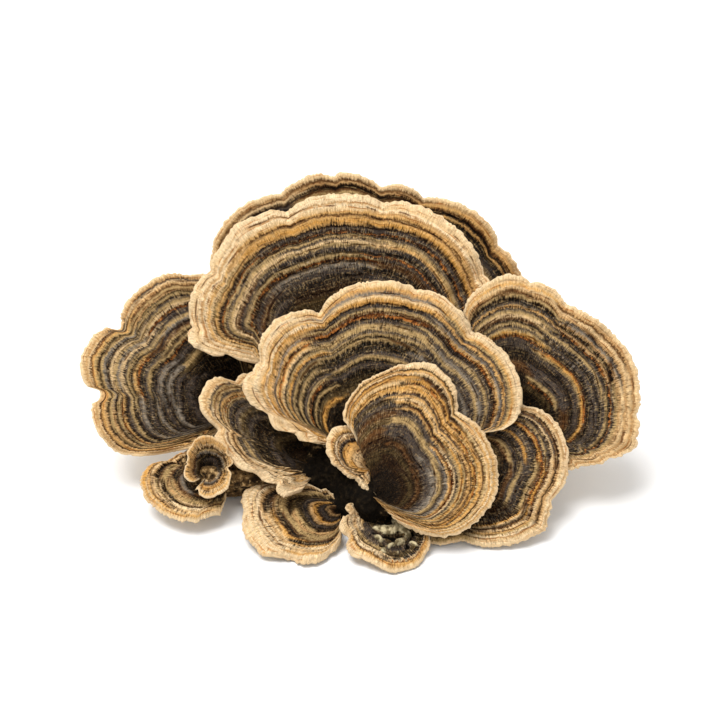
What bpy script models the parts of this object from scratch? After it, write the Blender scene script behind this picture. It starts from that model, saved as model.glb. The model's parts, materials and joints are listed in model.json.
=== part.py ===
"""Turkey tail fungus: a rosette of thin zoned caps on one woody base, cut flat where it grew.

Every cap is a fan that grows out of its own point on the base. Its margin is a row of lobes, its
surface is a shallow dish with creases at the notches and low concentric ridges, and it gets thinner
from the base to the margin. Lengths are in millimetres until the mesh is made, angles in degrees.
"""
import math

import bmesh
import bpy
import numpy as np
from mathutils import Vector

MM = 0.001

# Size and relief that all the caps share
MARGIN_THICKNESS = 0.9
INNER_SHARE = 0.12
LOBE_ROUNDNESS = 0.7
CREASE_HALF_ANGLE = 5.0
WAVE_COUNT = 5.0
LIP_START = 0.8
LIP_DROOP = 0.8
FACE_WIDTH = 5.1
FEWEST_FACES = 2

# The base, as overlapping round lumps: x, y, z of the middle and the radius
BASE_HEART = (0.0, 6.0, 5.0)
BASE_LUMPS = (
    (0, 8, 5, 13),
    (0, 22, 18, 11),
    (3, -8, 7.2, 7.2),
    (-2, -5, 2, 6.5),
    (12, 2, 4, 10),
    (23, 4, 4, 8),
    (22, 1.5, 6.2, 5.5),
    (35, 10.5, 13, 8.5),
    (-11, 6, 4, 8.5),
    (-26, 15, 8.5, 10),
    (-35, 2.3, 7, 7.5),
)
BASE_LENGTHEN = 1.7
BASE_AROUND = 26
BASE_ALONG = 18
LUMP_SHARPNESS = 16.0
LUMP_SMOOTHING = 0.5
SMOOTHING_PASSES = 1
BARK_ROUGHNESS = 0.5
BARK_PATCH = 2.3
CAP_CLEARANCE = 0.35
FLOOR_CUT_DEPTH = 30.0
FLOOR_CUT_WIDTH = 200.0

# Each cap: the point it grows from, where its upper face looks (turned from the front, raised from
# level), how thick it is at the root, the depth of its dish, the height of its creases, waves and
# ridges, how many ridges, and its margin. The margin lists where two lobes meet: the angle, the
# distance from the growth point, and how far the lobe after it swells past the straight run.
CAPS = {
    "cap_back": dict(
        root=(1.5, 21.3, 18.2), turn=0, lift=30, thick=2.4,
        dish=5.0, crease=1.8, wave=1.2, ridge=0.3, ridges=4,
        margin=((18, 38, 2.5), (35, 46, 0.8), (47, 46.6, 3.0), (73, 47, 1.6), (86, 48, 2.0),
                (99, 50.8, 2.0), (114, 50.4, 2.8), (139, 49, 0.6), (144, 46, 0))),
    "cap_upper": dict(
        root=(-2.5, 13.8, 25.7), turn=0, lift=38, thick=2.4,
        dish=6.0, crease=1.6, wave=1.2, ridge=0.3, ridges=5,
        margin=((28, 37, 1.2), (38, 40.5, 2.6), (79, 43.4, 1.6), (111, 42.6, 3.2), (142, 41.6, 2.2),
                (161, 39.6, 1.2), (169, 33, 0))),
    "cap_middle": dict(
        root=(1.5, -3, 17.7), turn=0, lift=40, thick=2.4,
        dish=4.0, crease=1.8, wave=0.8, ridge=0.3, ridges=5,
        margin=((8, 32, 1.2), (13, 36.4, 2.8), (48, 37.4, 1.4), (73, 39.4, 2.6), (109, 34.2, 3.6),
                (140, 32.6, 2.4), (157, 24, 0.8), (163, 15, 0.5), (170, 9, 0))),
    "cap_front": dict(
        root=(3, -14, 13.4), turn=5, lift=48, thick=2.2,
        dish=1.4, crease=1.2, wave=0.7, ridge=0.3, ridges=5,
        margin=((-51, 8.4, -0.4), (-35, 18, 1.8), (6, 29.4, 1.4), (42, 27.8, 3.2), (70, 32.4, 0.6),
                (98, 24.2, 0.6), (107, 19, 0))),
    "cap_front_side": dict(
        root=(2.7, -6.5, 15.4), turn=5, lift=48, thick=1.2,
        dish=1.4, crease=0.2, wave=0.2, ridge=0.15, ridges=3,
        margin=((103, 9.5, 0.3), (127, 12.2, 0.4), (146, 12.1, 0.3), (163, 9.7, 0.2), (184, 6.8, 0),
                (212, 4.8, -0.5), (263, 6.5, 0))),
    "cap_inner_left": dict(
        root=(-9, -0.9, 12.2), turn=25, lift=58, thick=2.0,
        dish=3.5, crease=1.2, wave=0.6, ridge=0.25, ridges=4,
        margin=((99, 27, 0.6), (107, 28.6, 0.8), (115, 28.2, 6.0), (141, 25.4, 0.6), (176, 13.2, 1.6),
                (215, 4.5, 0))),
    "cap_left": dict(
        root=(-26, 13.2, 19.1), turn=12, lift=45, thick=2.4,
        dish=5.0, crease=2.0, wave=0.7, ridge=0.3, ridges=4,
        margin=((62, 17, 0.5), (84, 21, 0.5), (99, 32, 0.6), (107, 34.8, 2.8), (141, 36.6, 5.0),
                (169, 36.4, 2.6), (193, 32.6, 0.8), (203, 22, 0.5), (212, 14, 0))),
    "cap_right": dict(
        root=(34, 3.6, 20.3), turn=-5, lift=38, thick=2.4,
        dish=5.0, crease=1.4, wave=0.8, ridge=0.3, ridges=4,
        margin=((-35, 17, 0.4), (-26, 20, 1.0), (-11, 27, 1.8), (7, 30.3, 1.8), (44, 32.3, 0.6),
                (66, 31.1, 1.4), (83, 33.6, 3.6), (113, 28, 0))),
    "cap_right_lower": dict(
        root=(22, -4.2, 13.8), turn=-5, lift=50, thick=2.2,
        dish=3.0, crease=1.2, wave=0.6, ridge=0.25, ridges=4,
        margin=((-106, 18.6, 0.4), (-85, 17, -0.3), (-34, 25.2, 0.3), (-16, 23.6, 1.6), (30, 26, 0.4),
                (45, 22.6, 0.2), (50, 20.5, 0))),
    "cap_bottom": dict(
        root=(-4.4, -9.2, 6.2), turn=0, lift=77, thick=1.8,
        dish=1.5, crease=0.7, wave=0.5, ridge=0.25, ridges=4,
        margin=((115, 6, 0.2), (135, 7.5, 0.2), (149, 14, 0.2), (156, 19.4, 1.0), (173, 23.7, -0.3),
                (215, 20.8, 0.6), (233, 16.6, 1.4), (258, 12, 0.2), (264, 10, 0.2), (271, 6.5, 0))),
    "cap_bottom_small": dict(
        root=(6, -10.5, 6.6), turn=20, lift=76, thick=1.4,
        dish=1.5, crease=0.5, wave=0.4, ridge=0.2, ridges=3,
        margin=((150, 7.6, 1.4), (178, 8.8, 1.0), (205, 11.7, 0.6), (250, 15.6, 1.8), (289, 14.6, 0.8),
                (308, 11.5, 0))),
    "cap_lower_left": dict(
        root=(-33, -2, 10), turn=0, lift=68, thick=1.6,
        dish=1.5, crease=0.7, wave=0.5, ridge=0.25, ridges=3,
        margin=((135, 9, 0.5), (160, 13.4, 2.6), (200, 18, 0.4), (248, 13.4, -0.4), (274, 9.8, 0.2),
                (300, 7, 0))),
    "cap_rosette": dict(
        root=(-35.5, -6.1, 14.8), turn=0, lift=45, thick=1.2,
        dish=6.0, crease=0.4, wave=0.4, ridge=0.2, ridges=3,
        margin=((-118, 5.7, 0.9), (3, 5.5, 0.5), (23, 6.3, 1.6), (165, 4.8, 0.8), (228, 4.4, 0))),
}

CAP_COLOUR = (0.36, 0.24, 0.13, 1.0)
BASE_COLOUR = (0.16, 0.12, 0.07, 1.0)
CAP_ROUGHNESS = 0.85
BASE_ROUGHNESS = 0.9


def cap_directions(turn, lift):
    """Unit vectors across a cap, along its growth, and out of its upper face."""
    side, up = math.radians(turn), math.radians(lift)
    normal = np.array((math.sin(side) * math.cos(up), -math.cos(side) * math.cos(up), math.sin(up)))
    across = np.array((math.cos(side), math.sin(side), 0.0))
    return across, np.cross(normal, across), normal


def lobe_place(margin, angle):
    """Which lobe an angle lies on, and how far along it, from 0 at one notch to 1 at the next."""
    notches = np.array([point[0] for point in margin], float)
    lobe = np.clip(np.searchsorted(notches, angle, side="right") - 1, 0, len(notches) - 2)
    return lobe, (angle - notches[lobe]) / (notches[lobe + 1] - notches[lobe])


def margin_radius(margin, angle):
    """Distance to the margin: a straight run from notch to notch, swollen by a round lobe."""
    lobe, along = lobe_place(margin, angle)
    radius = np.array([point[1] for point in margin], float)
    swell = np.array([point[2] for point in margin], float)
    straight = radius[lobe] + (radius[lobe + 1] - radius[lobe]) * along
    arch = np.maximum(4.0 * along * (1.0 - along), 0.0) ** LOBE_ROUNDNESS
    return straight + swell[lobe] * arch


def notch_nearness(margin, angle):
    """1 in the crease behind each inner notch, falling to 0 a few degrees away from it."""
    near = np.zeros_like(angle)
    for notch, _, _ in margin[1:-1]:
        near = np.maximum(near, np.exp(-((angle - notch) / CREASE_HALF_ANGLE) ** 2))
    return near


def cap_points(cap, out, angle):
    """Points of the upper face, from how far out they are, 0 at the root to 1, and their angle."""
    margin = cap["margin"]
    reach = margin_radius(margin, angle) * out
    turn = np.radians(angle)
    height = -cap["dish"] * (1.0 - out ** 2)
    height -= cap["crease"] * notch_nearness(margin, angle) * out ** 1.5
    height += cap["wave"] * np.sin(WAVE_COUNT * turn + cap["root"][0]) * out ** 2
    height -= cap["ridge"] * np.cos(2.0 * math.pi * cap["ridges"] * out)
    height -= LIP_DROOP * np.maximum((out - LIP_START) / (1.0 - LIP_START), 0.0) ** 2
    across, growth, normal = cap_directions(cap["turn"], cap["lift"])
    flat = np.cos(turn)[..., None] * across + np.sin(turn)[..., None] * growth
    return np.array(cap["root"]) + reach[..., None] * flat + height[..., None] * normal


def new_material(name, colour, roughness):
    """A plain rough material of one colour."""
    material = bpy.data.materials.new(name)
    material.use_nodes = True
    shader = material.node_tree.nodes["Principled BSDF"]
    shader.inputs["Base Color"].default_value = colour
    shader.inputs["Roughness"].default_value = roughness
    shader.inputs["Metallic"].default_value = 0.0
    return material


def new_object(name, mesh, collection):
    """Link a mesh to the scene as an object in one collection."""
    made = bpy.data.objects.new(name, mesh)
    collection.objects.link(made)
    return made


def mark_as_guide(made):
    """Show a cutter as wires and keep it out of renders."""
    made.hide_render = True
    made.display_type = "WIRE"


def cut_with(made, cutter, name, solver="EXACT"):
    """Take the cutter's volume away from an object."""
    cut = made.modifiers.new(name, "BOOLEAN")
    cut.operation = "DIFFERENCE"
    cut.solver = solver
    cut.object = cutter


def column_angles(margin):
    """Angles of a cap's columns: each lobe gets its own, so that one runs up every notch."""
    angles = [margin[0][0]]
    for (start, near, _), (end, far, _) in zip(margin, margin[1:]):
        arc = math.radians(end - start) * (near + far) / 2.0
        faces = max(FEWEST_FACES, round(arc / FACE_WIDTH))
        angles.extend(np.linspace(start, end, faces + 1)[1:])
    return np.array(angles)


def cap_mesh(name, cap):
    """The upper face of a cap: an open grid with a row on each ridge and in each furrow."""
    angles = column_angles(cap["margin"])
    rows, columns = 2 * cap["ridges"], len(angles) - 1
    shape = bmesh.new()
    bmesh.ops.create_grid(shape, x_segments=columns, y_segments=rows, size=1.0)
    place = (np.array([vert.co[:2] for vert in shape.verts]) + 1.0) / 2.0
    column = np.rint((1.0 - place[:, 0]) * columns).astype(int)
    out = INNER_SHARE + (1.0 - INNER_SHARE) * place[:, 1]
    for vert, point in zip(shape.verts, cap_points(cap, out, angles[column]) * MM):
        vert.co = point
    mesh = bpy.data.meshes.new(name)
    shape.to_mesh(mesh)
    shape.free()
    return mesh, out


def make_cap(name, cap, collection, clearance, material):
    """A cap: its upper face, thickened underneath and trimmed where it meets the base."""
    mesh, out = cap_mesh(name, cap)
    made = new_object(name, mesh, collection)
    made.data.materials.append(material)
    made.data.shade_smooth()
    thickness = made.vertex_groups.new(name="thickness")
    for index, share in enumerate(out):
        thick = cap["thick"] + (MARGIN_THICKNESS - cap["thick"]) * share
        thickness.add([index], thick / cap["thick"], "REPLACE")
    shell = made.modifiers.new("flesh", "SOLIDIFY")
    shell.thickness = cap["thick"] * MM
    shell.offset = -1.0
    shell.vertex_group = thickness.name
    # A thin fan folds on itself at its root, where the exact solver loses the whole cap
    cut_with(made, clearance, "clear of base", solver="MANIFOLD")
    return made


def base_radius(direction):
    """Distance from the heart to the outside: the farthest lump that a ray leaves, softly joined."""
    heart = np.array(BASE_HEART)
    total = np.zeros(len(direction))
    for x, y, z, radius in BASE_LUMPS:
        middle = np.array((x, y, z)) - heart
        nearest = direction @ middle
        inside = nearest ** 2 + radius ** 2 - middle @ middle
        leaves = nearest + np.sqrt(np.maximum(inside, 0.0))
        total += np.where((inside > 0.0) & (leaves > 0.0), leaves, 0.0) ** LUMP_SHARPNESS
    return total ** (1.0 / LUMP_SHARPNESS)


def base_mesh(name, grown):
    """The lumpy base, or a copy of it grown all round to clear the caps."""
    shape = bmesh.new()
    bmesh.ops.create_uvsphere(shape, u_segments=BASE_AROUND, v_segments=BASE_ALONG, radius=1.0)
    direction = np.array([vert.co for vert in shape.verts])[:, (2, 0, 1)] * (BASE_LENGTHEN, 1.0, 1.0)
    direction /= np.linalg.norm(direction, axis=1)[:, None]
    reach = base_radius(direction)
    reach += BARK_ROUGHNESS * np.sin(direction * reach[:, None] / BARK_PATCH).sum(axis=1)
    heart = Vector(BASE_HEART) * MM
    for vert, spot in zip(shape.verts, direction * reach[:, None]):
        vert.co = heart + Vector(spot) * MM
    for _ in range(SMOOTHING_PASSES):
        bmesh.ops.smooth_vert(
            shape, verts=shape.verts, factor=LUMP_SMOOTHING, use_axis_x=True, use_axis_y=True, use_axis_z=True)
    for vert in shape.verts:
        vert.co += (vert.co - heart).normalized() * grown * MM
    # Both copies are split along the same diagonals, so that the grown one clears the other all over
    bmesh.ops.triangulate(shape, faces=shape.faces[:], quad_method="FIXED")
    mesh = bpy.data.meshes.new(name)
    shape.to_mesh(mesh)
    shape.free()
    return mesh


def make_floor_cutter(collection):
    """A block whose top is the level at which the base is cut off."""
    bpy.ops.mesh.primitive_cube_add(size=1.0)
    block = bpy.context.object
    block.name = "floor_cutter"
    block.scale = (FLOOR_CUT_WIDTH * MM, FLOOR_CUT_WIDTH * MM, FLOOR_CUT_DEPTH * MM)
    block.location = (0.0, 0.0, -FLOOR_CUT_DEPTH * MM / 2.0)
    for home in list(block.users_collection):
        home.objects.unlink(block)
    collection.objects.link(block)
    mark_as_guide(block)
    return block


def make_base(collection, cutters, material):
    """The base with its flat cut, and the grown copy that trims the caps."""
    made = new_object("base", base_mesh("base", 0.0), collection)
    made.data.materials.append(material)
    made.data.shade_smooth()
    cut_with(made, make_floor_cutter(cutters), "flat cut")
    clearance = new_object("base_clearance", base_mesh("base_clearance", CAP_CLEARANCE), cutters)
    mark_as_guide(clearance)
    return clearance


def main():
    """Clear the scene and build the base and every cap."""
    for old in list(bpy.data.objects):
        bpy.data.objects.remove(old, do_unlink=True)
    parts = bpy.data.collections.new("turkey_tail_fungus")
    cutters = bpy.data.collections.new("cutters")
    bpy.context.scene.collection.children.link(parts)
    bpy.context.scene.collection.children.link(cutters)
    flesh = new_material("cap_flesh", CAP_COLOUR, CAP_ROUGHNESS)
    wood = new_material("base_flesh", BASE_COLOUR, BASE_ROUGHNESS)
    clearance = make_base(parts, cutters, wood)
    for name, cap in CAPS.items():
        make_cap(name, cap, parts, clearance, flesh)


main()
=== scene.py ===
# %% [markdown]
# Turkey tail fungus: the looks of a rosette of thirteen zoned caps on one woody base.
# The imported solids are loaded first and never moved. Each one is then replaced by a finer piece that
# is worked out from the same named sizes, so that the two agree in shape and place.
# Lengths are in millimetres until a mesh is made, and angles in degrees.

# %% Load the solids as the fixed frame
import json
import math

import bpy
import numpy as np
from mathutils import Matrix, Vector

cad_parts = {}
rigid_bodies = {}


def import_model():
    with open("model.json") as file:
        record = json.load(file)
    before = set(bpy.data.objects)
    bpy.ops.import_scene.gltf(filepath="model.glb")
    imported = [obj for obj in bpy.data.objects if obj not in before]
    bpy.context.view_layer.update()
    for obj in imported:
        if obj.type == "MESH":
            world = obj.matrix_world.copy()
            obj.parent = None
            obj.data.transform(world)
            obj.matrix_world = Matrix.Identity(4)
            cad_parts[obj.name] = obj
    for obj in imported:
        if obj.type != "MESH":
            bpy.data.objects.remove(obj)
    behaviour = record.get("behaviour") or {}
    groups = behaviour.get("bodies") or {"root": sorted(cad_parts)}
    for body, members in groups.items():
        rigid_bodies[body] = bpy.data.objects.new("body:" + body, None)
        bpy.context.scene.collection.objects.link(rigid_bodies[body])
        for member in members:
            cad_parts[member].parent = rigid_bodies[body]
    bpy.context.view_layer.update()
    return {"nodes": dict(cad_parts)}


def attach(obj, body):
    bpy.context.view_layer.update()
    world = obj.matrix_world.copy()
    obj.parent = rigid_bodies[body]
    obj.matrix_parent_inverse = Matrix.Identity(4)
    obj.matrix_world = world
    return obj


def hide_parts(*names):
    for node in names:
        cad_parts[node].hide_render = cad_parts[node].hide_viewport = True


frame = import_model()
MM = 0.001
print("solids:", sorted(frame["nodes"]))

# %% [markdown]
# ## The form of a cap
# A real cap grows outwards from one point, a little faster here and slower there, so its margin is a
# row of lobes with notches between them. It could be sculpted or traced as a curve. A fan in polar
# coordinates was chosen, because every layer of growth is then one line of the grid: ridges, coloured
# zones and the margin all follow the same lobes.

# %% Sizes that all the caps share
MARGIN_THICKNESS = 0.9
INNER_SHARE = 0.12
LOBE_ROUNDNESS = 0.7
CREASE_HALF_ANGLE = 5.0
WAVE_COUNT = 5.0
LIP_START = 0.8
LIP_DROOP = 0.8

# Each cap: the point it grows from, where its upper face looks (turned from the front, raised from
# level), how thick it is at the root, the depth of its dish, the height of its creases, waves and
# ridges, how many ridges, and its margin. The margin lists where two lobes meet: the angle, the
# distance from the growth point, and how far the lobe after it swells past the straight run.
CAPS = {
    "cap_back": dict(
        root=(1.5, 21.3, 18.2), turn=0, lift=30, thick=2.4,
        dish=5.0, crease=1.8, wave=1.2, ridge=0.3, ridges=4,
        margin=((18, 38, 2.5), (35, 46, 0.8), (47, 46.6, 3.0), (73, 47, 1.6), (86, 48, 2.0),
                (99, 50.8, 2.0), (114, 50.4, 2.8), (139, 49, 0.6), (144, 46, 0))),
    "cap_upper": dict(
        root=(-2.5, 13.8, 25.7), turn=0, lift=38, thick=2.4, lobes=((168, 6.5, 3.0),),
        softness=11, wrap=2.0,
        side=((0.12, 169), (0.6, 169), (0.68, 169.8), (0.75, 169.4), (0.8, 167.8), (0.86, 168.4), (0.93, 169.4),
              (1, 168)),
        dish=6.0, crease=1.6, wave=1.2, ridge=0.3, ridges=5,
        margin=((28, 37, 1.2), (38, 40.5, 2.6), (79, 43.4, 1.6), (111, 42.6, 3.2), (142, 41.6, 2.2),
                (161, 39.6, 1.2), (169, 33, 0))),
    "cap_middle": dict(
        root=(1.5, -3, 17.7), turn=0, lift=40, thick=2.4,
        lobes=((158, 12, 3.8),), curls=((9, 5, 0.8, 1.6, 0.5), (158, 9, 0.8, 0.8, 0.2)),
        scallops=((154, 5, 1.2), (161.5, 3.2, 1.8), (166, 2.6, 1.4)),
        dish=4.0, crease=1.8, wave=0.8, ridge=0.3, ridges=5,
        margin=((8, 32, 1.2), (13, 36.4, 2.8), (48, 37.4, 1.4), (73, 39.4, 2.6), (109, 34.2, 3.6),
                (140, 32.6, 2.4), (157, 24, 0.8), (163, 15, 0.5), (170, 9, 0))),
    "cap_front": dict(
        root=(3, -14, 13.4), turn=5, lift=48, thick=2.2, inner=0.03, softness=9,
        side=((0.03, 75), (0.16, 88), (0.3, 97), (0.5, 101.7), (0.7, 103.5), (0.88, 105.5), (1, 107)),
        dish=1.4, crease=1.2, wave=0.7, ridge=0.3, ridges=5,
        margin=((-51, 8.4, -0.4), (-35, 18, 1.8), (6, 29.4, 1.4), (42, 27.8, 3.2), (70, 32.4, 0.6),
                (98, 24.2, 0.6), (107, 19, 0))),
    "cap_front_side": dict(
        root=(2.7, -6.5, 15.4), turn=5, lift=48, thick=1.2, frill=1.3,
        dish=1.4, crease=0.2, wave=0.2, ridge=0.15, ridges=3,
        margin=((103, 9.5, 0.3), (127, 12.2, 0.4), (146, 12.1, 0.3), (163, 9.7, 0.2), (184, 6.8, 0),
                (212, 4.8, -0.5), (263, 6.5, 0))),
    "cap_inner_left": dict(
        root=(-9, -0.9, 12.2), turn=25, lift=58, thick=2.0, inner=0.04,
        lobes=((153, 11, 1.8), (207, 19, 4.2)), curls=((203, 16, 0.6, 0.8, 0.1),),
        scallops=((134, 3.5, 0.7), (150, 3.2, 0.7), (163, 2.8, 0.9), (177, 2.4, 0.8)),
        dish=3.5, crease=1.2, wave=0.6, ridge=0.25, ridges=4,
        margin=((99, 27, 0.6), (107, 28.6, 0.8), (115, 28.2, 6.0), (141, 25.4, 0.6), (176, 13.2, 1.6),
                (215, 4.5, 0))),
    "cap_left": dict(
        root=(-26, 13.2, 19.1), turn=12, lift=45, thick=2.4, scallops=((169, 2.2, -1.6), (141, 2.2, -0.8)),
        dish=5.0, crease=2.0, wave=0.7, ridge=0.3, ridges=4,
        margin=((62, 17, 0.5), (84, 21, 0.5), (99, 32, 0.6), (107, 34.8, 2.8), (141, 36.6, 5.0),
                (169, 36.4, 2.6), (193, 32.6, 0.8), (203, 22, 0.5), (212, 14, 0))),
    "cap_right": dict(
        root=(34, 3.6, 20.3), turn=-5, lift=38, thick=2.4, softness=10,
        lobes=((-9.5, 6, 2.0),), curls=((-20, 9, 0.8, 1.8, 0.4),),
        dish=5.0, crease=1.4, wave=0.8, ridge=0.3, ridges=4,
        margin=((-35, 17, 0.4), (-26, 20, 1.0), (-11, 27, 1.8), (7, 30.3, 1.8), (44, 32.3, 0.6),
                (66, 31.1, 1.4), (83, 33.6, 3.6), (113, 28, 0))),
    "cap_right_lower": dict(
        root=(22, -4.2, 13.8), turn=-5, lift=50, thick=2.2,
        dish=3.0, crease=1.2, wave=0.6, ridge=0.25, ridges=4,
        margin=((-106, 18.6, 0.4), (-85, 17, -0.3), (-34, 25.2, 0.3), (-16, 23.6, 1.6), (30, 26, 0.4),
                (45, 22.6, 0.2), (50, 20.5, 0))),
    "cap_bottom": dict(
        root=(-4.4, -9.2, 6.2), turn=0, lift=77, thick=1.8, inner=0.03,
        narrowing=8.0, lobes=((118, 7, -1.8), (152, 6, 2.6), (206, 25, 1.8), (243, 17, 1.6), (268, 9, 1.6)),
        dish=1.5, crease=0.7, wave=0.5, ridge=0.25, ridges=4,
        margin=((115, 6, 0.2), (135, 7.5, 0.2), (149, 14, 0.2), (156, 19.4, 1.0), (173, 23.7, -0.3),
                (215, 20.8, 0.6), (233, 16.6, 1.4), (258, 12, 0.2), (264, 10, 0.2), (271, 6.5, 0))),
    "cap_bottom_small": dict(
        root=(6, -10.5, 6.6), turn=20, lift=76, thick=1.4, inner=0.04,
        dish=1.5, crease=0.5, wave=0.4, ridge=0.2, ridges=3,
        lobes=((190, 13, 1.7), (216, 14, 1.6), (243, 18, 0.9)), curls=((179, 24, 0.45, 2.4, 1.1),),
        margin=((150, 7.6, 1.4), (178, 8.8, 1.0), (205, 11.7, 0.6), (250, 15.6, 1.8), (289, 14.6, 0.8),
                (308, 11.5, 0)),
        knobs=((302, 0.40, 2.3, 1.8), (318, 0.44, 1.7, 1.5), (286, 0.52, 1.5, 1.3), (270, 0.34, 1.5, 1.3),
               (246, 0.34, 1.3, 1.3), (240, 0.56, 1.2, 1.1), (257, 0.60, 1.1, 0.9), (269, 0.56, 1.3, 0.9),
               (284, 0.72, 0.9, 0.8), (228, 0.40, 0.9, 1.0), (249, 0.76, 0.8, 0.8), (262, 0.74, 0.7, 0.6),
               (277, 0.46, -1.5, 0.8), (261, 0.46, -1.4, 0.9), (294, 0.60, -1.5, 0.8), (249, 0.46, -1.2, 0.7),
               (306, 0.60, -1.2, 0.9), (233, 0.50, -0.9, 0.7), (276, 0.66, -1.1, 0.6), (246, 0.66, -0.9, 0.6))),
    "cap_lower_left": dict(
        root=(-33, -2, 10), turn=0, lift=68, thick=1.6, frill=1.5, lobes=((225, 50, -0.7),),
        side=((0.12, 300), (0.45, 296), (0.65, 290), (0.8, 284), (0.92, 279), (1, 274)),
        dish=1.5, crease=0.7, wave=0.5, ridge=0.25, ridges=3,
        margin=((135, 9, 0.5), (160, 13.4, 2.6), (200, 18, 0.4), (248, 13.4, -0.4), (274, 9.8, 0.2),
                (300, 7, 0))),
    "cap_rosette": dict(
        root=(-35.5, -6.1, 14.8), turn=0, lift=45, thick=1.2,
        lobes=((98, 26, 0.9), (36, 7, -0.6), (1, 9, -0.5), (-84, 16, 0.5), (-112, 7, -0.9), (152, 9, -0.5)),
        dish=6.0, crease=0.4, wave=0.4, ridge=0.2, ridges=3,
        margin=((-118, 5.7, 0.9), (3, 5.5, 0.5), (23, 6.3, 1.6), (165, 4.8, 0.8), (228, 4.4, 0))),
}
print("caps:", len(CAPS))

# %% The margin as a function of the angle


def cap_directions(turn, lift):
    """Unit vectors across a cap, along its growth, and out of its upper face."""
    side, up = math.radians(turn), math.radians(lift)
    normal = np.array((math.sin(side) * math.cos(up), -math.cos(side) * math.cos(up), math.sin(up)))
    across = np.array((math.cos(side), math.sin(side), 0.0))
    return across, np.cross(normal, across), normal


def margin_radius(margin, angle):
    """Distance to the margin: a straight run from notch to notch, plus the lobe's swell times a
    round arch, (4 t (1 - t)) to a power below one, with t from 0 to 1 along the lobe."""
    notches, radius, swell = np.array(margin, float).T
    lobe = np.clip(np.searchsorted(notches, angle, side="right") - 1, 0, len(notches) - 2)
    along = (angle - notches[lobe]) / (notches[lobe + 1] - notches[lobe])
    straight = radius[lobe] + (radius[lobe + 1] - radius[lobe]) * along
    return straight + swell[lobe] * np.maximum(4.0 * along * (1.0 - along), 0.0) ** LOBE_ROUNDNESS


NEARBY = np.linspace(-2.0, 2.0, 9)
CORNER_SOFTNESS = 0.6


def soft_margin(margin, angle, spread=CORNER_SOFTNESS):
    """The distance to the margin averaged over nearby angles with the weights of a bell curve, so that
    it has no sharp corners. The spread is in degrees."""
    weights = np.exp(-NEARBY ** 2)
    beside = [margin_radius(margin, np.clip(angle + step * spread, margin[0][0], margin[-1][0]))
              for step in NEARBY]
    return sum(weight * radius for weight, radius in zip(weights, beside)) / weights.sum()


def outer_margin(cap, angle):
    """The soft margin with the small lobes that a cap lists: the middle angle, half angle and height
    of each one, as the arch 1 - t t, with t from -1 to 1 across it."""
    radius = soft_margin(cap["margin"], angle)
    for middle, half_angle, height in cap.get("lobes", ()):
        radius = radius + height * np.maximum(1.0 - ((angle - middle) / half_angle) ** 2, 0.0)
    return radius


SLOPE_STEP = 1.5


def margin_slope(cap, angle):
    """How obliquely the margin runs: its change of distance from the root over the arc beside it."""
    low, high = outer_margin(cap, angle - SLOPE_STEP), outer_margin(cap, angle + SLOPE_STEP)
    return (high - low) / (math.radians(2.0 * SLOPE_STEP) * outer_margin(cap, angle))


def margin_length(cap, angle):
    """Distance along the margin up to an angle, added up in small steps."""
    step = np.linspace(cap["margin"][0][0] - 10.0, cap["margin"][-1][0] + 10.0, 1200)
    pace = outer_margin(cap, step) * np.hypot(1.0, margin_slope(cap, step)) * np.radians(step[1] - step[0])
    return np.interp(angle, step, np.cumsum(pace))


def notch_nearness(margin, angle, half_angle):
    """1 at the angle of each inner notch, falling to 0 beside it as a bell curve."""
    near = np.zeros_like(angle)
    for notch, _, _ in margin[1:-1]:
        near = np.maximum(near, np.exp(-((angle - notch) / half_angle) ** 2))
    return near


# %% Even random unevenness, the same on every run
CHANCE = np.random.default_rng(7).random((256, 256))


def unevenness(x, y, shift=0):
    """Smooth random hills between -1 and 1, one to each unit square: the four corners of a square
    have fixed random heights, blended with the ease curve 3 t t - 2 t t t both ways."""
    x, y = np.broadcast_arrays(np.asarray(x, float) + 13.7 * shift, np.asarray(y, float) + 5.1 * shift)
    column, row = np.floor(x).astype(int), np.floor(y).astype(int)
    right, up = x - column, y - row
    right, up = right * right * (3.0 - 2.0 * right), up * up * (3.0 - 2.0 * up)
    low = CHANCE[row % 256, column % 256] * (1 - right) + CHANCE[row % 256, (column + 1) % 256] * right
    high = (CHANCE[(row + 1) % 256, column % 256] * (1 - right)
            + CHANCE[(row + 1) % 256, (column + 1) % 256] * right)
    return 2.0 * (low * (1 - up) + high * up) - 1.0


# %% [markdown]
# ## Colours of the zones
# A turkey tail lays down a new band of colour with every spell of growth: cream when it is fresh, then
# tan, ochre, rust, slate and near black. A wood or marble texture would give bands, but not these
# ones, so each cap lists its own, from the margin (1) to the root (0), at a few angles, and the
# material blends between the lists. The fibres then feather every border.

# %% A maker's list of colours, as they look in daylight
COLOURS = {
    "cream": (222, 195, 154),
    "pale": (209, 176, 129),
    "tan": (176, 137, 89),
    "honey": (198, 152, 90),
    "straw": (166, 137, 90),
    "gold": (192, 139, 68),
    "rust": (52, 28, 12),
    "brown": (86, 55, 28),
    "umber": (36, 20, 8),
    "olive": (70, 55, 31),
    "grey": (120, 110, 97),
    "slate": (62, 54, 49),
    "dark": (22, 16, 12),
    "black": (6, 3, 1),
}
# Bare troughs between the hairy zones, which show flecks of orange flesh
FLECKED = "rust"
CHANGE_OVER = 8.0
SCATTER = 9.0


def daylight(red, green, blue):
    """A screen colour from 0 to 255 as the linear colour that a shader takes."""
    channel = np.array((red, green, blue)) / 255.0
    linear = np.where(channel <= 0.04045, channel / 12.92, ((channel + 0.055) / 1.055) ** 2.4)
    return (*linear.tolist(), 1.0)


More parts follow.
